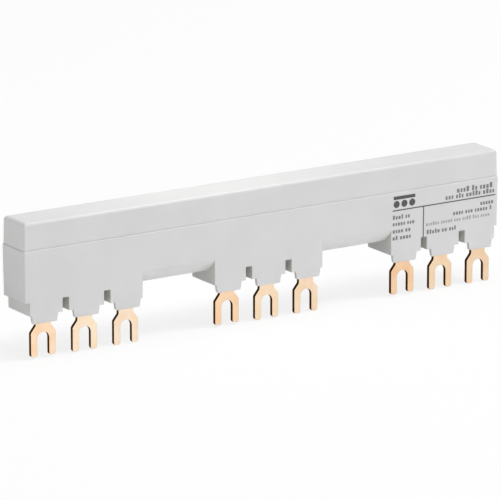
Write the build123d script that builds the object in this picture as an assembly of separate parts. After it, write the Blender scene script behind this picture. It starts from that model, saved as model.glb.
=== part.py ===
# Three-phase comb busbar: copper comb bars in a moulded housing with a clipped-on cover.
# It links three motor protection devices on one mounting rail, with a fork lug under each terminal screw.
#
# Frame: X runs along the rail, Y runs from the front face towards the rail, Z is up.
# The origin lies on the screw axis of the middle fork, in the middle of the copper's thickness.
from build123d import *
import os
from math import cos, radians, tan

# Layout of the devices, in millimetres
device_count = 3
device_pitch = 63.0  # a 45 mm device with a 9 mm auxiliary contact on each side
pole_pitch = 14.0  # from one terminal screw of a device to the next

# Copper bars
bar_thickness = 1.2
bar_height = 18.0
bar_gap = 3.25  # clear space between two neighbouring bars
bar_overhang = 4.1  # strip that runs on past the middle of the first and last leg
phase_rise = (0.45, 0.0, -0.2)  # height of each phase's forks against the middle phase

# Fork lugs
screw_slot_width = 4.0
slot_depth = 7.3  # from the tips to the crown of the slot
prong_width = 2.1
prong_height = 7.3  # straight outer edge of a prong
shoulder_height = 2.0  # slope between the prongs' outer edges and the neck
neck_width = 5.0
tip_radius = 0.8
shoulder_radius = 0.7
leg_root_radius = 1.0

# Joggle that brings the legs of the middle and back bars into the plane of the forks
joggle_angle = 45.0  # from the vertical
bend_radius = 1.4  # at the middle of the copper's thickness
bend_margin = 0.1  # straight copper between the strip and the upper bend

# Housing, with heights measured from the screw axis
wall = 1.15  # front and back wall at the seam
end_wall = 1.2
floor_thickness = 1.2
bar_seat = 3.5  # lower edges of the bars above the underside of the body
seat_rib_thickness = 1.2
seat_ribs_per_gap = 2
tongue_bottom = 5.4
block_bottom = 7.9
body_bottom = 12.0
seam_height = 27.5
left_margin = 6.9  # first pole to the left end
right_margin = 6.4  # last pole to the right end
block_margin = 5.05  # outer pole of a device to the outer side of its block
tab_slot_width = 2.2
gap_chamfer = 3.2
gap_blend_radius = 3.0  # soft turn from the front face into the chamfer
tongue_top_width = 8.8
tongue_bottom_width = 8.0
tongue_corner_radius = 0.4
housing_draft = 0.5  # degrees, narrowing downwards
edge_radius = 0.6  # upright corners of both mouldings
seam_edge_radius = 0.5  # outer top edge of the housing, which shows as a fine ledge below the cover

# Cover
head_room = 1.05  # from the top of the bars to the roof
cover_recess = 0.2  # step back from the housing's outer faces
cover_edge_radius = 1.2  # outer top edges
cover_roof = 1.2
cover_draft = 1.0  # degrees, narrowing upwards
lap_height = 1.5
lap_thickness = 0.45
hold_down_length = 3.0
hold_down_width = 1.0
hook_width = 2.8
hook_thickness = 1.0
hook_reach = 4.5  # below the seam
hook_nose = 0.4
hook_nose_height = 1.2

# Insulating separators
separator_web = 1.0
separator_rise = 0.7  # above the bars
spacer_width = 1.2
spacer_pitch = 14.0
spacer_end_gap = 6.0
groove_depth = 0.5

# Clearances
bar_clearance = 0.15  # between a bar and the wall beside it
fork_clearance = 0.15  # round a fork that passes through the housing
neck_clearance = 0.2
spacer_clearance = 0.1
lap_clearance = 0.05
hold_down_clearance = 0.15
groove_clearance = 0.1
hook_clearance = 0.1

# Working values that leave no mark on the parts
cut_past = 1.0  # how far a cutting block runs on past the face it opens
weld_depth = 0.1  # how far an added rib or block reaches into the wall that carries it
blend_margin = 0.01  # how far the cut for the gap stays in front of the wall above the chamfer
same_height = 1e-6

# Worked out from the sizes above
phase_count = len(phase_rise)
middle_device = device_count // 2
middle_phase = phase_count // 2
slot_radius = screw_slot_width / 2
fork_width = screw_slot_width + 2 * prong_width
tip_drop = slot_depth - slot_radius
bar_pitch = bar_thickness + bar_gap
bar_bottom = body_bottom + bar_seat
bar_top = bar_bottom + bar_height
joggle_slope = tan(radians(joggle_angle))
upper_bend = bar_bottom - bend_margin - bend_radius * tan(radians(joggle_angle / 2))


def pole_x(device, phase):
    """Place of a terminal screw along the rail."""
    return (device - middle_device) * device_pitch + (phase - middle_phase) * pole_pitch


def bar_y(phase):
    """Middle plane of a phase's bar; the front bar lies in the plane of the forks."""
    return phase * bar_pitch


trough_front = -bar_thickness / 2 - bar_clearance
trough_back = bar_y(phase_count - 1) + bar_thickness / 2 + bar_clearance
housing_front = trough_front - wall
housing_back = trough_back + wall
housing_left = pole_x(0, 0) - left_margin
housing_right = pole_x(device_count - 1, phase_count - 1) + right_margin
trough_left = housing_left + end_wall
trough_right = housing_right - end_wall
pocket_floor = block_bottom + floor_thickness
roof_underside = bar_top + head_room
cover_top = roof_underside + cover_roof
middle_x = (housing_left + housing_right) / 2
middle_y = (housing_front + housing_back) / 2


def block(x_range, y_range, z_range):
    """Plain block between two corners."""
    size = [high - low for low, high in (x_range, y_range, z_range)]
    centre = [(high + low) / 2 for low, high in (x_range, y_range, z_range)]
    return Pos(*centre) * Box(*size)


def front_plate(outline, y_range):
    """Outline drawn in the front view, given its thickness from front to back."""
    y_front, y_back = y_range
    plane = Plane(origin=(0, y_front, 0), x_dir=(1, 0, 0), z_dir=(0, -1, 0))
    return extrude(plane * outline, amount=-(y_back - y_front))


def side_plate(outline, x_range):
    """Outline drawn in the side view, given its length along the rail."""
    x_left, x_right = x_range
    plane = Plane(origin=(x_left, 0, 0), x_dir=(0, 1, 0), z_dir=(1, 0, 0))
    return extrude(plane * outline, amount=x_right - x_left)


def lower_bend(phase):
    """Height at which a leg turns from its joggle into the plane of the forks."""
    return upper_bend - bar_y(phase) / joggle_slope


def corners_at(outline, height):
    """Corners of a front-view outline at one height."""
    return ShapeList(v for v in outline.vertices() if abs(v.Y - height) < same_height)


def leg_outline(phase):
    """Leg and fork in the front view, round the screw axis, up to the strip."""
    half_fork = fork_width / 2
    half_neck = neck_width / 2
    tips = -tip_drop
    shoulder = tips + prong_height
    neck = shoulder + shoulder_height
    root = bar_bottom - phase_rise[phase] + leg_root_radius
    outline = make_face(
        Polyline(
            (-half_neck, root), (-half_neck, neck), (-half_fork, shoulder), (-half_fork, tips),
            (half_fork, tips), (half_fork, shoulder), (half_neck, neck), (half_neck, root), close=True,
        )
    )
    outline -= Pos(0, tips) * Rectangle(screw_slot_width, 2 * tip_drop) + Circle(slot_radius)
    outline = fillet(corners_at(outline, tips), tip_radius)
    return fillet(corners_at(outline, shoulder) + corners_at(outline, neck), shoulder_radius)


def bar_section(phase):
    """Side view of the bent copper: strip, joggle and fork plane."""
    low = -tip_drop + phase_rise[phase]
    if phase == 0:
        line = Line((0, low), (0, bar_top))
    else:
        line = FilletPolyline(
            (0, low), (0, lower_bend(phase)), (bar_y(phase), upper_bend), (bar_y(phase), bar_top),
            radius=bend_radius,
        )
    return trace(line, bar_thickness)


def phase_bar(phase):
    """One stamped and bent copper comb."""
    left = pole_x(0, phase) - bar_overhang
    right = pole_x(device_count - 1, phase) + bar_overhang
    blank = Pos((left + right) / 2, (bar_bottom + bar_top) / 2) * Rectangle(right - left, bar_height)
    for device in range(device_count):
        blank += Pos(pole_x(device, phase), phase_rise[phase]) * leg_outline(phase)
    strip_corners = corners_at(blank, bar_bottom).sort_by(Axis.X)
    blank = fillet(strip_corners[1:-1], leg_root_radius)
    plate = front_plate(blank, (-bar_thickness, bar_y(phase) + bar_thickness))
    return plate & side_plate(bar_section(phase), (left - fork_width, right + fork_width))


def tongue_outline():
    """Short tongue of the front wall that covers the neck of a fork."""
    half_top = tongue_top_width / 2
    half_bottom = tongue_bottom_width / 2
    outline = make_face(
        Polyline(
            (-half_top, block_bottom), (-half_bottom, tongue_bottom),
            (half_bottom, tongue_bottom), (half_top, block_bottom), close=True,
        )
    )
    low_corners = outline.vertices().group_by(Axis.Y)[0]
    return fillet(low_corners, tongue_corner_radius)


def upright(edge):
    """True for an edge that runs up a block, drafted or not."""
    direction = edge.tangent_at(0.5)
    return abs(direction.Z) > 0.9


def gap_range(device):
    """Span of the gap between the blocks of one device and those of the next."""
    return (pole_x(device, phase_count - 1) + block_margin, pole_x(device + 1, 0) - block_margin)


def front_at(height):
    """Place of the drafted front face of the housing at one height."""
    return housing_front + (seam_height - height) * tan(radians(housing_draft))


def gap_outline():
    """Side view of the space between two devices, with a chamfer that turns softly into the front face."""
    outside = housing_front - cut_past
    behind = housing_back + cut_past
    underside = block_bottom - cut_past
    blend_top = body_bottom + gap_chamfer + gap_blend_radius
    wall_line = front_at(blend_top) - blend_margin
    turn = body_bottom + gap_chamfer + housing_front - wall_line
    outline = make_face(
        Polyline(
            (outside, underside), (outside, blend_top), (wall_line, blend_top), (wall_line, turn),
            (housing_front + gap_chamfer, body_bottom), (behind, body_bottom), (behind, underside), close=True,
        )
    )
    return fillet(corners_at(outline, turn), gap_blend_radius)


def housing_outside():
    """Outer form: body, blocks under the devices' terminals and tongues."""
    length = housing_right - housing_left
    depth = housing_back - housing_front
    mould = extrude(Rectangle(length, depth), amount=seam_height - tongue_bottom, taper=housing_draft)
    mould = fillet(mould.edges().filter_by(upright), edge_radius)
    mould = fillet(mould.edges().group_by(Axis.Z)[0], seam_edge_radius)
    mould = Pos(middle_x, middle_y, seam_height) * Rot(180, 0, 0) * mould
    left_end = housing_left - cut_past
    right_end = housing_right + cut_past
    underside = block_bottom - cut_past
    y_all = (housing_front - cut_past, housing_back + cut_past)
    body = mould & block((left_end, right_end), y_all, (block_bottom, seam_height))
    left_block = pole_x(0, 0) - block_margin
    right_block = pole_x(device_count - 1, phase_count - 1) + block_margin
    body -= block((left_end, left_block), y_all, (underside, body_bottom))
    body -= block((right_block, right_end), y_all, (underside, body_bottom))
    for device in range(device_count - 1):
        body -= side_plate(gap_outline(), gap_range(device))
    for device in range(device_count):
        for phase in range(phase_count - 1):
            slot_x = (pole_x(device, phase) + pole_x(device, phase + 1)) / 2
            slot_range = (slot_x - tab_slot_width / 2, slot_x + tab_slot_width / 2)
            body -= block(slot_range, y_all, (underside, body_bottom))
    tongue = front_plate(tongue_outline(), (housing_front - cut_past, trough_front))
    for device in range(device_count):
        for phase in range(phase_count):
            body += mould & Pos(pole_x(device, phase)) * tongue
    return body


def leg_pocket(device, phase):
    """Hollow of one block, with a window in its floor that lets the fork through."""
    x = pole_x(device, phase)
    half_fork = fork_width / 2 + fork_clearance
    half_neck = neck_width / 2 + neck_clearance
    window_front = -bar_thickness / 2 - fork_clearance
    window_back = bar_thickness / 2 + fork_clearance
    joggle_run = max(0.0, pocket_floor - lower_bend(phase)) * joggle_slope
    neck_back = joggle_run + bar_thickness / 2 / cos(radians(joggle_angle)) + neck_clearance
    fork_x = (x - half_fork, x + half_fork)
    window_z = (block_bottom - cut_past, pocket_floor + cut_past)
    pocket = block(fork_x, (trough_front, trough_back), (pocket_floor, bar_bottom + cut_past))
    fork_window = block(fork_x, (window_front, window_back), window_z)
    neck_window = block((x - half_neck, x + half_neck), (window_front, neck_back), window_z)
    return pocket + fork_window + neck_window


def seat_cells(device):
    """Hollows under the bars in the gap after a device; the ribs between them carry the bars."""
    left, right = gap_range(device)
    floor = body_bottom + floor_thickness
    top = bar_bottom + cut_past
    outline = make_face(
        Polyline(
            (trough_front, top), (trough_front, bar_bottom), (trough_front + bar_bottom - floor, floor),
            (trough_back, floor), (trough_back, top), close=True,
        )
    )
    cell_count = seat_ribs_per_gap + 1
    cell_length = (right - left - seat_ribs_per_gap * seat_rib_thickness) / cell_count
    cell_pitch = cell_length + seat_rib_thickness
    starts = [left + number * cell_pitch for number in range(cell_count)]
    return [side_plate(outline, (start, start + cell_length)) for start in starts]


def comb_housing():
    """Moulded comb housing, open at the top."""
    housing = housing_outside()
    lip = block(
        (trough_left - lap_thickness, trough_right + lap_thickness),
        (trough_front - lap_thickness, trough_back + lap_thickness),
        (seam_height, seam_height + lap_height),
    )
    housing += lip
    above_lip = seam_height + lap_height + cut_past
    housing -= block((trough_left, trough_right), (trough_front, trough_back), (bar_bottom, above_lip))
    for device in range(device_count):
        for phase in range(phase_count):
            housing -= leg_pocket(device, phase)
    for device in range(device_count - 1):
        housing -= seat_cells(device)
    for gap in range(phase_count - 1):
        groove_y = separator_y(gap)
        half_groove = separator_web / 2 + groove_clearance
        housing -= block(
            (trough_left - groove_depth, trough_right + groove_depth),
            (groove_y - half_groove, groove_y + half_groove),
            (bar_bottom, above_lip),
        )
    for side in (-1, 1):
        housing -= hook_catch(side)
    return housing


def end_range(side, near, far):
    """Span along the rail, counted inwards from the trough's left or right end."""
    if side < 0:
        return (trough_left + near, trough_left + far)
    return (trough_right - far, trough_right - near)


def hook_y_range(slack):
    """Width of an end hook, in the middle of the trough, plus some slack each way."""
    hook_y = bar_y(middle_phase)
    return (hook_y - hook_width / 2 - slack, hook_y + hook_width / 2 + slack)


def hook_catch(side):
    """Recess in an end wall that takes the nose of a cover hook."""
    nose_bottom = seam_height - hook_reach
    return block(
        end_range(side, -hook_nose - hook_clearance, weld_depth),
        hook_y_range(hook_clearance),
        (nose_bottom - hook_clearance, nose_bottom + hook_nose_height + hook_clearance),
    )


def cover_hook(side):
    """Springy hook that reaches down along an end wall."""
    nose_bottom = seam_height - hook_reach
    arm = block(
        end_range(side, hook_clearance, hook_clearance + hook_thickness),
        hook_y_range(0), (nose_bottom, roof_underside),
    )
    nose = make_face(
        Polyline(
            (0, nose_bottom), (-hook_nose, nose_bottom + hook_nose_height),
            (0, nose_bottom + hook_nose_height), close=True,
        )
    )
    y_front, y_back = hook_y_range(0)
    nose = front_plate(nose, (y_front, y_back))
    if side < 0:
        return arm + Pos(trough_left + hook_clearance) * nose
    return arm + Pos(trough_right - hook_clearance) * mirror(nose, Plane.YZ)


def cover():
    """Cover that laps over the housing's lip and holds the bars down."""
    length = housing_right - housing_left - 2 * cover_recess
    depth = housing_back - housing_front - 2 * cover_recess
    shell = extrude(Rectangle(length, depth), amount=cover_top - seam_height, taper=cover_draft)
    shell = fillet(shell.edges().filter_by(upright), edge_radius)
    shell = fillet(shell.edges().group_by(Axis.Z)[-1], cover_edge_radius)
    shell = Pos(middle_x, middle_y, seam_height) * shell
    below_seam = seam_height - cut_past
    shell -= block((trough_left, trough_right), (trough_front, trough_back), (below_seam, roof_underside))
    lap = lap_thickness + lap_clearance
    shell -= block(
        (trough_left - lap, trough_right + lap), (trough_front - lap, trough_back + lap),
        (below_seam, seam_height + lap_height + lap_clearance),
    )
    for device in range(device_count):
        for phase in range(phase_count):
            x = pole_x(device, phase)
            y = bar_y(phase)
            shell += block(
                (x - hold_down_length / 2, x + hold_down_length / 2),
                (y - hold_down_width / 2, y + hold_down_width / 2),
                (bar_top + hold_down_clearance, roof_underside + weld_depth),
            )
    for side in (-1, 1):
        shell += cover_hook(side)
    return shell


def separator_y(gap):
    """Middle plane of the space between two neighbouring bars."""
    return (bar_y(gap) + bar_y(gap + 1)) / 2


def separator(gap):
    """Insulating sheet between two bars, with spacer ribs on both faces."""
    y = separator_y(gap)
    web = (y - separator_web / 2, y + separator_web / 2)
    tab_reach = groove_depth - groove_clearance
    sheet = block(
        (trough_left + groove_clearance, trough_right - groove_clearance), web,
        (bar_bottom, bar_top + separator_rise),
    )
    sheet += block((trough_left - tab_reach, trough_right + tab_reach), web, (bar_bottom, seam_height))
    reach = bar_gap / 2 - spacer_clearance
    span = trough_right - trough_left - 2 * spacer_end_gap
    spacer_count = int(span // spacer_pitch) + 1
    first = middle_x - (spacer_count - 1) * spacer_pitch / 2
    for number in range(spacer_count):
        x = first + number * spacer_pitch
        sheet += block(
            (x - spacer_width / 2, x + spacer_width / 2), (y - reach, y + reach), (bar_bottom, bar_top)
        )
    return sheet


pieces = {"comb_housing": comb_housing(), "cover": cover()}
for phase in range(phase_count):
    pieces[f"phase_bar_l{phase + 1}"] = phase_bar(phase)
for gap in range(phase_count - 1):
    pieces[f"separator_l{gap + 1}_l{gap + 2}"] = separator(gap)

os.makedirs("parts", exist_ok=True)
for name, solid in pieces.items():
    export_step(solid, f"parts/{name}.step")
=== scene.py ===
import math
import random

import bpy
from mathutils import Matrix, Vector


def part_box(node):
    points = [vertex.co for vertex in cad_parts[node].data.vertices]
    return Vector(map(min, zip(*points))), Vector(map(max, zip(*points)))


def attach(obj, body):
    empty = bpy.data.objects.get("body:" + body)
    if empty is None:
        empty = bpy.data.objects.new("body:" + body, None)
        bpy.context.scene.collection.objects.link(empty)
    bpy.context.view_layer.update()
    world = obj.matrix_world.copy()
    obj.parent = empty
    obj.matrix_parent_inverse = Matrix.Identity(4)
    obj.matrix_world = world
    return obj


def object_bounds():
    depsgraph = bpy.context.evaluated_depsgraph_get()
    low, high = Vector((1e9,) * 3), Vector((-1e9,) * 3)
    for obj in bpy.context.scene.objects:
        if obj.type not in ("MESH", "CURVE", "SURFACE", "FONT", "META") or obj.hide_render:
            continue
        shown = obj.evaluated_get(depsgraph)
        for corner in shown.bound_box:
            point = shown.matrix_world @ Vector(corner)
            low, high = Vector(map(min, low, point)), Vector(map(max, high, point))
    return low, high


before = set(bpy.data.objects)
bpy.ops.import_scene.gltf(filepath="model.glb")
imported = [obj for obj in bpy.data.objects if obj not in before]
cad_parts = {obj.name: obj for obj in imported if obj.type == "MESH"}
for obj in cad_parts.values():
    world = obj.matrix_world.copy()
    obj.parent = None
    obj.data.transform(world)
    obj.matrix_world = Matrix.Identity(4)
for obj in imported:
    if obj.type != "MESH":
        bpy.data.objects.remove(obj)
bpy.ops.object.select_all(action="DESELECT")
cadLow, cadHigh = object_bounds()
print("frame loaded:", len(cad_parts), "nodes")

mm = 0.001
white = (1.0, 1.0, 1.0, 1.0)


def directionOf(azimuth, elevation):
    # unit vector for two angles in degrees; azimuth 0 is the front and 90 the right end
    azimuth = math.radians(azimuth)
    elevation = math.radians(elevation)
    return Vector((
        math.sin(azimuth) * math.cos(elevation),
        -math.cos(azimuth) * math.cos(elevation),
        math.sin(elevation),
    ))


# A long lens from the front left, slightly above
photoCamera = {
    "aim": (-1.58 * mm, 6.15 * mm, 14.46 * mm),
    "azimuth": -32.72,
    "elevation": 14.98,
    "distance": 1.4203,
    "lens": 343.1,
    "sensor": 36.0,
    "clip": (0.05, 50.0),
}


def addCamera():
    view = photoCamera
    away = directionOf(view["azimuth"], view["elevation"])
    data = bpy.data.cameras.new("photoCamera")
    data.lens = view["lens"]
    data.sensor_width = view["sensor"]
    data.clip_start, data.clip_end = view["clip"]
    camera = bpy.data.objects.new("photoCamera", data)
    camera.location = Vector(view["aim"]) + away * view["distance"]
    camera.rotation_mode = "QUATERNION"
    camera.rotation_quaternion = away.to_track_quat("Z", "Y")
    bpy.context.scene.collection.objects.link(camera)
    bpy.context.scene.camera = camera


addCamera()
print("camera placed")


# Small helpers for node trees
def addNode(tree, kind, settings=None, inputs=None):
    node = tree.nodes.new(kind)
    for name, value in (settings or {}).items():
        setattr(node, name, value)
    for name, value in (inputs or {}).items():
        if isinstance(value, bpy.types.NodeSocket):
            tree.links.new(value, node.inputs[name])
        else:
            node.inputs[name].default_value = value
    return node


def newGroup(name, inputs, outputs):
    group = bpy.data.node_groups.new(name, "ShaderNodeTree")
    for label, kind in inputs:
        group.interface.new_socket(name=label, in_out="INPUT", socket_type=kind)
    for label, kind in outputs:
        group.interface.new_socket(name=label, in_out="OUTPUT", socket_type=kind)
    return group, group.nodes.new("NodeGroupInput"), group.nodes.new("NodeGroupOutput")


def placeGroup(tree, group, inputs):
    return addNode(tree, "ShaderNodeGroup", {"node_tree": group}, inputs)


def mixColours(tree, factor, first, second, blend="MIX"):
    # a Mix node's colours are its sockets 6 and 7, and its plain values 2 and 3
    settings = {"data_type": "RGBA", "blend_type": blend}
    return addNode(tree, "ShaderNodeMix", settings, {0: factor, 6: first, 7: second}).outputs[2]


def mixValues(tree, factor, first, second):
    inputs = {0: factor, 2: first, 3: second}
    return addNode(tree, "ShaderNodeMix", {"data_type": "FLOAT"}, inputs).outputs[0]


def calculate(tree, operation, first, second=0.0, clamped=False):
    settings = {"operation": operation, "use_clamp": clamped}
    return addNode(tree, "ShaderNodeMath", settings, {0: first, 1: second}).outputs[0]


def separate(tree, vector):
    return addNode(tree, "ShaderNodeSeparateXYZ", None, {0: vector}).outputs


def stretched(tree, vector, scale):
    return addNode(tree, "ShaderNodeMapping", None, {"Vector": vector, "Scale": scale}).outputs["Vector"]


def noise(tree, vector, scale, detail):
    inputs = {"Vector": vector, "Scale": scale, "Detail": detail}
    return addNode(tree, "ShaderNodeTexNoise", None, inputs).outputs["Fac"]


def mapped(tree, value, given, wanted=(0.0, 1.0), smooth=False):
    settings = {"interpolation_type": "SMOOTHSTEP" if smooth else "LINEAR"}
    return addNode(tree, "ShaderNodeMapRange", settings, {
        "Value": value,
        "From Min": given[0],
        "From Max": given[1],
        "To Min": wanted[0],
        "To Max": wanted[1],
    }).outputs["Result"]


def objectPlace(tree):
    return addNode(tree, "ShaderNodeTexCoord").outputs["Object"]


def softEdges(tree, radius, samples):
    return addNode(tree, "ShaderNodeBevel", {"samples": samples}, {"Radius": radius}).outputs["Normal"]


def bumped(tree, look, height, normal=None):
    bump = addNode(tree, "ShaderNodeBump", None, {
        "Strength": look["bumpStrength"],
        "Distance": look["bumpDepth"],
        "Height": height,
    })
    if normal is not None:
        tree.links.new(normal, bump.inputs["Normal"])
    return bump.outputs["Normal"]


def newMaterial(name):
    material = bpy.data.materials.new(name)
    material.use_nodes = True
    tree = material.node_tree
    return material, tree, tree.nodes["Principled BSDF"]


# Spark-eroded mould surface: fine grain, slow flow mottle and shallow waves
mouldTexture = {
    "flow": (75.0, 3.0),  # each noise here is its features in a metre and its detail
    "flowRange": (0.35, 0.65),
    "speckle": (4200.0, 1.0),
    "speckleRange": (0.3, 0.7),
    "grain": (9000.0, 2.0),
    "wave": (160.0, 1.0),
    "waveHeight": 1.5,  # against 1 for the grain
}


def makeMouldGrain():
    look = mouldTexture
    group, given, result = newGroup(
        "mouldGrain",
        (
            ("Vector", "NodeSocketVector"),
            ("Plain Colour", "NodeSocketColor"),
            ("Mottle Colour", "NodeSocketColor"),
            ("Smooth Roughness", "NodeSocketFloat"),
            ("Dull Roughness", "NodeSocketFloat"),
        ),
        (
            ("Colour", "NodeSocketColor"),
            ("Roughness", "NodeSocketFloat"),
            ("Height", "NodeSocketFloat"),
        ),
    )
    vector = given.outputs["Vector"]
    flow = mapped(group, noise(group, vector, *look["flow"]), look["flowRange"], smooth=True)
    colour = mixColours(group, flow, given.outputs["Plain Colour"], given.outputs["Mottle Colour"])
    speckle = noise(group, vector, *look["speckle"])
    roughnesses = (given.outputs["Smooth Roughness"], given.outputs["Dull Roughness"])
    roughness = mapped(group, speckle, look["speckleRange"], roughnesses)
    wave = calculate(group, "MULTIPLY", noise(group, vector, *look["wave"]), look["waveHeight"])
    height = calculate(group, "ADD", noise(group, vector, *look["grain"]), wave)
    group.links.new(colour, result.inputs["Colour"])
    group.links.new(roughness, result.inputs["Roughness"])
    group.links.new(height, result.inputs["Height"])
    return group


# Painted shade and bounce light: deep corners of a moulding are painted a little darker, warmer and
# greener than its open faces
hollows = {
    "samples": 8,
    "openness": (0.5, 0.95),  # tinted in full below the first, and not at all above the second
}


def makePaintedHollowShade():
    group, given, result = newGroup(
        "paintedHollowShade",
        (
            ("Colour", "NodeSocketColor"),
            ("Tint", "NodeSocketColor"),
            ("Reach", "NodeSocketFloat"),
        ),
        (("Colour", "NodeSocketColor"),),
    )
    plain = given.outputs["Colour"]
    settings = {"samples": hollows["samples"]}
    inputs = {"Distance": given.outputs["Reach"]}
    # painted shade: the colour is multiplied by the tint where little open space is around
    openness = addNode(group, "ShaderNodeAmbientOcclusion", settings, inputs).outputs["AO"]
    hollow = mapped(group, openness, hollows["openness"], (1.0, 0.0), smooth=True)
    tinted = mixColours(group, 1.0, plain, given.outputs["Tint"], "MULTIPLY")
    group.links.new(mixColours(group, hollow, plain, tinted), result.inputs["Colour"])
    return group


# Mouldings: grey housing and cover, natural separators
housingFinish = {
    "name": "greyHousingMoulding",
    "colour": (0.636, 0.636, 0.637, 1.0),
    "mottle": (0.618, 0.618, 0.618, 1.0),
    "roughness": (0.38, 0.46),  # of smooth and dull specks
    # painted shade: tint multiplied into deep corners, and how far the search for their walls reaches
    "paintedHollowShade": (0.95, 0.96, 0.90, 1.0),
    "hollowReach": 10 * mm,
    "edgeSoftness": 0.35 * mm,
    "edgeSamples": 6,
    "bumpStrength": 0.25,
    "bumpDepth": 0.012 * mm,
    "ior": 1.5,
    "specular": 0.5,
}
coverFinish = dict(
    housingFinish,
    name="greyCoverMoulding",
    colour=(0.634, 0.634, 0.635, 1.0),
    mottle=(0.616, 0.616, 0.616, 1.0),
    roughness=(0.36, 0.44),
    edgeSoftness=0.3 * mm,
)
separatorFinish = dict(
    housingFinish,
    name="naturalSeparatorMoulding",
    colour=(0.52, 0.50, 0.44, 1.0),
    mottle=(0.47, 0.45, 0.40, 1.0),
    roughness=(0.5, 0.62),
)
mouldGrain = makeMouldGrain()
paintedHollowShade = makePaintedHollowShade()


def makeMoulding(finish):
    material, tree, surface = newMaterial(finish["name"])
    smooth, dull = finish["roughness"]
    grain = placeGroup(tree, mouldGrain, {
        "Vector": objectPlace(tree),
        "Plain Colour": finish["colour"],
        "Mottle Colour": finish["mottle"],
        "Smooth Roughness": smooth,
        "Dull Roughness": dull,
    })
    # painted shade and bounce light in the moulding's deep corners
    tint = placeGroup(tree, paintedHollowShade, {
        "Colour": grain.outputs["Colour"],
        "Tint": finish["paintedHollowShade"],
        "Reach": finish["hollowReach"],
    })
    soft = softEdges(tree, finish["edgeSoftness"], finish["edgeSamples"])
    tree.links.new(tint.outputs["Colour"], surface.inputs["Base Color"])
    tree.links.new(grain.outputs["Roughness"], surface.inputs["Roughness"])
    tree.links.new(bumped(tree, finish, grain.outputs["Height"], soft), surface.inputs["Normal"])
    surface.inputs["IOR"].default_value = finish["ior"]
    surface.inputs["Specular IOR Level"].default_value = finish["specular"]
    return material


# Stamped copper: rolled faces bright and pink, punched edges brown and torn
copperFinish = {
    "paintedReflectionRightEnd": (0.874, 0.800, 0.722, 1.0),  # painted reflection: what is left of the colour at the right end, the rolled faces darkening and warming from the left end
    "reach": 84 * mm,  # from the middle to either end
    "heat": (260.0, 2.0),  # each noise here is its features in a metre and its detail
    "heatRange": (0.36, 0.66),
    "punched": (0.078, 0.038, 0.008, 1.0),
    "torn": (0.036, 0.017, 0.004, 1.0),
    "tornRange": (0.35, 0.65),
    "grazing": (0.45, 0.30, 0.15, 1.0),  # brown, not white, where the light grazes
    "rollOver": 0.18 * mm,
    "edgeSamples": 8,
    "facing": (0.25, 0.62),  # the normal's y where the punched edge ends and the rolled face begins
    "rollMarks": (5200.0, 3.0),
    "rollStretch": (0.12, 1.0, 1.0),  # rolling marks run along the strip
    "punchMarks": (6500.0, 3.0),
    "punchStretch": (1.0, 0.08, 1.0),  # punching marks run through its thickness
    "roughRolled": 0.34,
    "roughPunched": 0.62,
    "marksRange": (0.3, 0.7),
    "marksRoughness": (-0.05, 0.07),  # what the marks add to the roughness
    "bumpStrength": 0.35,
    "bumpDepth": 0.01 * mm,
}
barColours = {  # bright and heat-tinted colour of each bar's rolled faces
    "phase_bar_l1": ((0.990, 0.738, 0.520, 1.0), (0.970, 0.686, 0.445, 1.0)),
    "phase_bar_l2": ((0.990, 0.815, 0.620, 1.0), (0.970, 0.754, 0.538, 1.0)),
    "phase_bar_l3": ((0.980, 0.806, 0.628, 1.0), (0.955, 0.742, 0.542, 1.0)),
}


def makeCopper(name, bright, warm):
    look = copperFinish
    material, tree, surface = newMaterial(name)
    place = objectPlace(tree)
    soft = softEdges(tree, look["rollOver"], look["edgeSamples"])
    facing = calculate(tree, "ABSOLUTE", separate(tree, soft)["Y"])
    rolled = mapped(tree, facing, look["facing"], smooth=True)
    rollMarks = noise(tree, stretched(tree, place, look["rollStretch"]), *look["rollMarks"])
    punchMarks = noise(tree, stretched(tree, place, look["punchStretch"]), *look["punchMarks"])

    heat = mapped(tree, noise(tree, place, *look["heat"]), look["heatRange"], smooth=True)
    # painted reflection: the rolled faces grow darker and more orange from the left end to the right
    along = mapped(tree, separate(tree, place)["X"], (-look["reach"], look["reach"]))
    faceBeforeReflection = mixColours(tree, heat, bright, warm)
    faceColour = mixColours(tree, along, faceBeforeReflection, look["paintedReflectionRightEnd"], "MULTIPLY")
    torn = mapped(tree, punchMarks, look["tornRange"])
    edgeColour = mixColours(tree, torn, look["punched"], look["torn"])
    tree.links.new(mixColours(tree, rolled, edgeColour, faceColour), surface.inputs["Base Color"])

    marks = mixValues(tree, rolled, punchMarks, rollMarks)
    roughness = mapped(tree, rolled, (0.0, 1.0), (look["roughPunched"], look["roughRolled"]))
    spread = mapped(tree, marks, look["marksRange"], look["marksRoughness"])
    tree.links.new(calculate(tree, "ADD", roughness, spread), surface.inputs["Roughness"])
    tree.links.new(bumped(tree, look, marks, soft), surface.inputs["Normal"])
    surface.inputs["Metallic"].default_value = 1.0
    surface.inputs["Specular Tint"].default_value = look["grazing"]
    return material


def dress(node, material):
    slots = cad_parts[node].data.materials
    slots.clear()
    slots.append(material)


def dressFrame():
    dress("comb_housing", makeMoulding(housingFinish))
    dress("cover", makeMoulding(coverFinish))
    for node, (bright, warm) in barColours.items():
        dress(node, makeCopper(node + "_copper", bright, warm))
    separatorPlastic = makeMoulding(separatorFinish)
    for node in ("separator_l1_l2", "separator_l2_l3"):
        dress(node, separatorPlastic)


dressFrame()
print("frame dressed")


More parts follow.
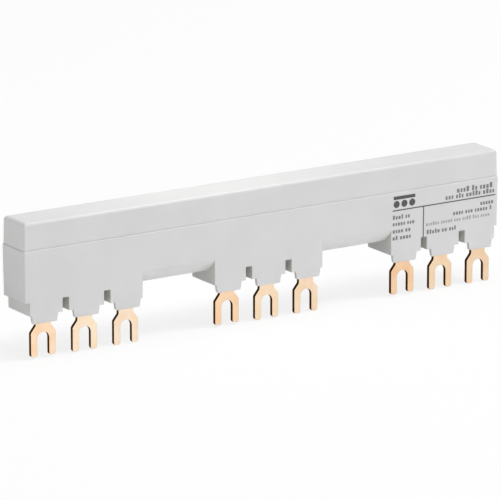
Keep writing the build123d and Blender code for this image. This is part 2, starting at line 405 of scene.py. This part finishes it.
# Pad-printed ink on the drafted front face of the housing
inkLook = {
    "thickness": 0.02 * mm,
    "sunk": 0.01 * mm,
    "draft": 0.5,  # degrees, as the housing's wall
    "draftedFrom": 27.5 * mm,  # height at which the wall stands furthest forward
    "cornerSegments": 3,
    "patches": (2600.0, 3.0),  # each noise here is its features in a metre and its detail
    "patchRange": (0.35, 0.7),
    "roughness": (0.5, 0.6),  # of dense and thin ink
    "grain": (9000.0, 2.0),
    "bumpStrength": 0.2,
    "bumpDepth": 0.004 * mm,
}
inkColours = {  # dense and thin colour of each ink
    "darkInk": ((0.050, 0.050, 0.053, 1.0), (0.090, 0.090, 0.094, 1.0)),
    "midInk": ((0.150, 0.150, 0.155, 1.0), (0.215, 0.215, 0.220, 1.0)),
    "paleInk": ((0.310, 0.310, 0.316, 1.0), (0.390, 0.390, 0.396, 1.0)),
}
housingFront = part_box("comb_housing")[0][1]
upright = (math.pi / 2, 0, 0)  # turns a flat primitive to the front


def makeInk(name, dense, thin):
    look = inkLook
    material, tree, surface = newMaterial(name)
    place = objectPlace(tree)
    thinness = mapped(tree, noise(tree, place, *look["patches"]), look["patchRange"], smooth=True)
    tree.links.new(mixColours(tree, thinness, dense, thin), surface.inputs["Base Color"])
    tree.links.new(mapped(tree, thinness, (0.0, 1.0), look["roughness"]), surface.inputs["Roughness"])
    grain = noise(tree, place, *look["grain"])
    tree.links.new(bumped(tree, look, grain), surface.inputs["Normal"])
    return material


def startInk(name):
    bpy.ops.object.select_all(action="DESELECT")
    mesh = bpy.data.meshes.new(name)
    piece = bpy.data.objects.new(name, mesh)
    bpy.context.scene.collection.objects.link(piece)
    bpy.context.view_layer.objects.active = piece
    piece.select_set(True)
    bpy.ops.object.mode_set(mode="EDIT")
    return piece


def addField(x, z, width, height):
    # one flat field of ink, in the plane of the housing's front edge
    middle = (x, housingFront, z)
    bpy.ops.mesh.primitive_plane_add(size=1.0, location=middle, rotation=upright)
    bpy.ops.transform.resize(value=(width, 1.0, height), center_override=middle)


def addDisc(x, z, radius, points):
    bpy.ops.mesh.primitive_circle_add(
        vertices=points, radius=radius, fill_type="NGON", location=(x, housingFront, z), rotation=upright,
    )


def finishInk(piece, material, corner=0.0):
    look = inkLook
    bpy.ops.mesh.select_all(action="SELECT")
    if corner:
        bpy.ops.mesh.bevel(affect="VERTICES", offset=corner, segments=look["cornerSegments"])
    bpy.ops.mesh.select_all(action="SELECT")
    bpy.ops.transform.translate(value=(0, look["sunk"], 0))
    raised = (0, -look["sunk"] - look["thickness"], 0)
    bpy.ops.mesh.extrude_region_move(TRANSFORM_OT_translate={"value": raised})
    bpy.ops.mesh.select_all(action="SELECT")
    bpy.ops.mesh.normals_make_consistent(inside=False)
    bpy.ops.object.mode_set(mode="OBJECT")
    slope = math.tan(math.radians(look["draft"]))
    for vertex in piece.data.vertices:
        vertex.co.y += slope * (look["draftedFrom"] - vertex.co.z)
    piece.data.materials.append(material)
    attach(piece, "root")
    piece.select_set(False)


# Rows of small plain blocks, each row as (left, right, middle height, size) in millimetres
printedRows = {
    "seed": 7,
    "width": (0.40, 0.58),  # of a block, as a share of its row's size
    "lowHeight": 0.74,  # of a low block, as such a share too
    "tallShare": 0.22,  # share of the blocks that have the row's full height
    "gap": 0.25,  # from block to block, as a share of the size
    "space": 0.42,  # what a wide gap has more than that
    "run": (2, 6),  # blocks between two wide gaps
    "corner": 0.1,
    "dark": (
        (68.0, 82.3, 25.00, 1.65),
        (63.8, 82.2, 23.22, 1.50),
        (76.8, 82.0, 19.75, 1.35),
        (66.7, 81.6, 17.95, 1.35),
        (57.0, 68.2, 13.35, 1.35),
        (44.5, 51.5, 19.60, 1.35),
        (44.5, 52.6, 17.55, 1.30),
        (44.5, 51.4, 15.30, 1.35),
        (44.5, 52.0, 13.15, 1.35),
    ),
    "pale": ((56.7, 80.6, 15.85, 1.15),),
}


def addRow(left, right, level, size, draw):
    look = printedRows
    size *= mm
    x = left * mm
    base = level * mm - size / 2
    blocksLeft = draw.randint(*look["run"])
    while True:
        width = size * draw.uniform(*look["width"])
        height = size * (1.0 if draw.random() < look["tallShare"] else look["lowHeight"])
        if x + width > right * mm:
            break
        addField(x + width / 2, base + height / 2, width, height)
        x += width + size * look["gap"]
        blocksLeft -= 1
        if blocksLeft == 0:
            x += size * look["space"]
            blocksLeft = draw.randint(*look["run"])


def printRows(name, rows, ink, draw):
    piece = startInk(name)
    for left, right, level, size in rows:
        addRow(left, right, level, size, draw)
    finishInk(piece, ink, printedRows["corner"] * mm)


# Thin rules that divide the printed field, in millimetres
printedRules = {
    "thickness": 0.36,
    "corner": 0.05,
    "across": (44.35, 82.35, 21.70),  # left, right, height
    "down": (55.72, 12.25, 21.70),  # place, low end, high end, lowered by half the thickness
}


def printRules(ink):
    thickness = printedRules["thickness"]
    left, right, level = printedRules["across"]
    x, bottom, top = printedRules["down"]
    piece = startInk("print_rules")
    addField((left + right) / 2 * mm, level * mm, (right - left) * mm, thickness * mm)
    addField(x * mm, (bottom + top - thickness) / 2 * mm, thickness * mm, (top - bottom) * mm)
    finishInk(piece, ink, printedRules["corner"] * mm)


# A plain sign, a bar over three discs, in millimetres
pictogram = {
    "left": 44.7,
    "right": 52.6,
    "top": 26.1,
    "bar": 1.05,
    "gap": 0.35,
    "disc": 1.1,  # radius
    "discPoints": 28,
}


def printPictogram(ink):
    sign = pictogram
    radius = sign["disc"]
    width = sign["right"] - sign["left"]
    middle = (sign["right"] + sign["left"]) / 2
    discHeight = sign["top"] - sign["bar"] - sign["gap"] - radius
    piece = startInk("print_pictogram")
    addField(middle * mm, (sign["top"] - sign["bar"] / 2) * mm, width * mm, sign["bar"] * mm)
    for step in (-1, 0, 1):
        x = middle + step * (width / 2 - radius)
        addDisc(x * mm, discHeight * mm, radius * mm, sign["discPoints"])
    finishInk(piece, ink)


def printHousing():
    inks = {name: makeInk(name, dense, thin) for name, (dense, thin) in inkColours.items()}
    draw = random.Random(printedRows["seed"])
    printRows("print_rows_dark", printedRows["dark"], inks["midInk"], draw)
    printRows("print_row_pale", printedRows["pale"], inks["paleInk"], draw)
    printRules(inks["darkInk"])
    printPictogram(inks["darkInk"])


printHousing()
print("print added")


def seenBy(tree):
    # 1 for camera, glossy and transmission rays, 0 for the rays that light the object
    path = addNode(tree, "ShaderNodeLightPath").outputs
    seen = calculate(tree, "ADD", path["Is Camera Ray"], path["Is Glossy Ray"])
    return calculate(tree, "ADD", seen, path["Is Transmission Ray"], clamped=True)


# Floor: plain and pale to the view; it lights the busbar with a glow and a painted shadow behind it, as a
# white table with a stand's shade on it would
studioFloor = {
    "size": 8.0,
    "paint": 0.97,
    "speck": (30.0, 2.0),  # noise, as its features in a metre and its detail
    "speckRange": (0.3, 0.7),
    "speckLevel": 0.995,  # darkest specks, as a share of the paint
    "roughness": 0.9,
    "behind": 0.06,  # share of the paint left in the painted shadow behind the busbar, where a stand would shade the table
    "shadeDepth": (-7 * mm, 7 * mm),  # where the shade starts and is full, from front to back
    "shadeEnd": (97 * mm, 128 * mm),  # and where it fades out past the busbar's ends
    "lift": 0.24,  # light that the floor gives the busbar, outside that shade
    "seen": 0.18,  # share of the paint that a view ray sees
    "veil": 0.8,  # plain white that a view ray adds to it
}


def makeFloor():
    look = studioFloor
    bpy.ops.mesh.primitive_plane_add(size=look["size"], location=(0, 0, cadLow[2]))
    floor = bpy.context.active_object
    floor.name = "studioFloor"
    material, tree, surface = newMaterial("paleFloor")
    place = objectPlace(tree)
    seen = seenBy(tree)
    fromMiddle = separate(tree, place)
    behind = mapped(tree, fromMiddle["Y"], look["shadeDepth"], smooth=True)
    sideways = calculate(tree, "ABSOLUTE", fromMiddle["X"])
    alongside = mapped(tree, sideways, look["shadeEnd"], (1.0, 0.0), smooth=True)
    shade = calculate(tree, "MULTIPLY", behind, alongside)

    # painted shadow: the paint that lights the busbar is darker behind it
    shaded = mapped(tree, shade, (0.0, 1.0), (1.0, look["behind"]))
    share = mixValues(tree, seen, shaded, look["seen"])
    specks = (look["paint"] * look["speckLevel"], look["paint"])
    speck = mapped(tree, noise(tree, place, *look["speck"]), look["speckRange"], specks)
    tree.links.new(calculate(tree, "MULTIPLY", speck, share), surface.inputs["Base Color"])

    # painted light: outside the painted shadow the floor glows for the rays that light the busbar
    lift = mapped(tree, shade, (0.0, 1.0), (look["lift"], 0.0))
    tree.links.new(mixValues(tree, seen, lift, look["veil"]), surface.inputs["Emission Strength"])
    surface.inputs["Emission Color"].default_value = white
    surface.inputs["Roughness"].default_value = look["roughness"]
    surface.inputs["Specular IOR Level"].default_value = 0.0
    floor.data.materials.append(material)
    floor.select_set(False)


# Sky, dimmer in front of the busbar than behind it, and white to the view
studioSky = {
    "colour": (1.0, 1.0, 0.982, 1.0),
    "front": 0.28,
    "back": 0.69,
    "turn": (-0.5, 0.5),  # a direction's y where the front level ends and the back level begins
    "backdrop": 1.0,  # what the view sees
}


def makeWorld():
    look = studioSky
    world = bpy.data.worlds.new("studioWorld")
    bpy.context.scene.world = world
    world.use_nodes = True
    tree = world.node_tree
    tree.nodes.clear()
    direction = addNode(tree, "ShaderNodeTexCoord").outputs["Generated"]
    levels = (look["front"], look["back"])
    level = mapped(tree, separate(tree, direction)["Y"], look["turn"], levels, smooth=True)
    light = addNode(tree, "ShaderNodeBackground", None, {"Color": look["colour"], "Strength": level})
    backdrop = addNode(tree, "ShaderNodeBackground", None, {"Color": white, "Strength": look["backdrop"]})
    mix = addNode(tree, "ShaderNodeMixShader", None, {
        0: seenBy(tree),
        1: light.outputs[0],
        2: backdrop.outputs[0],
    })
    addNode(tree, "ShaderNodeOutputWorld", None, {"Surface": mix.outputs[0]})


# Lamps that look at the middle of the busbar, in degrees, metres and watts
lamps = {
    "overhead": {
        "azimuth": 8.0,
        "elevation": 74.0,
        "distance": 2.2,
        "size": (1.0, 1.0),
        "power": 14.0,
        "colour": (1.0, 1.0, 1.0),
    },
    "glint": {
        "azimuth": 62.0,
        "elevation": 56.0,
        "distance": 2.2,
        "size": (0.5, 0.5),
        "power": 20.0,
        "colour": (0.97, 0.97, 1.0),
    },
    "key": {
        "azimuth": 26.0,
        "elevation": 9.0,
        "distance": 1.3,
        "size": (0.8, 0.36),
        "power": 1.2,
        "colour": (0.965, 0.965, 1.0),
    },
}
topGlow = {  # a small strip close above the cover, left of its middle
    "left": 0.015,
    "height": 0.045,
    "size": (0.076, 0.012),
    "power": 0.0068,
    "colour": (1.0, 1.0, 0.93),
}


def addLamp(name, place, target, look):
    data = bpy.data.lights.new(name, "AREA")
    data.shape = "RECTANGLE"
    data.size, data.size_y = look["size"]
    data.energy = look["power"]
    data.color = look["colour"]
    lamp = bpy.data.objects.new(name, data)
    lamp.location = place
    lamp.rotation_mode = "QUATERNION"
    lamp.rotation_quaternion = (target - place).to_track_quat("-Z", "Y")
    lamp.visible_camera = False
    bpy.context.scene.collection.objects.link(lamp)


def lightStudio():
    middle = (Vector(cadLow) + Vector(cadHigh)) / 2
    for name, look in lamps.items():
        away = directionOf(look["azimuth"], look["elevation"])
        addLamp(name, middle + away * look["distance"], middle, look)
    top = Vector((middle.x - topGlow["left"], middle.y, cadHigh[2]))
    above = top + Vector((0, 0, topGlow["height"]))
    addLamp("topGlow", above, top, topGlow)


makeFloor()
makeWorld()
lightStudio()
bpy.context.scene.view_settings.view_transform = "Standard"
print("studio lit")
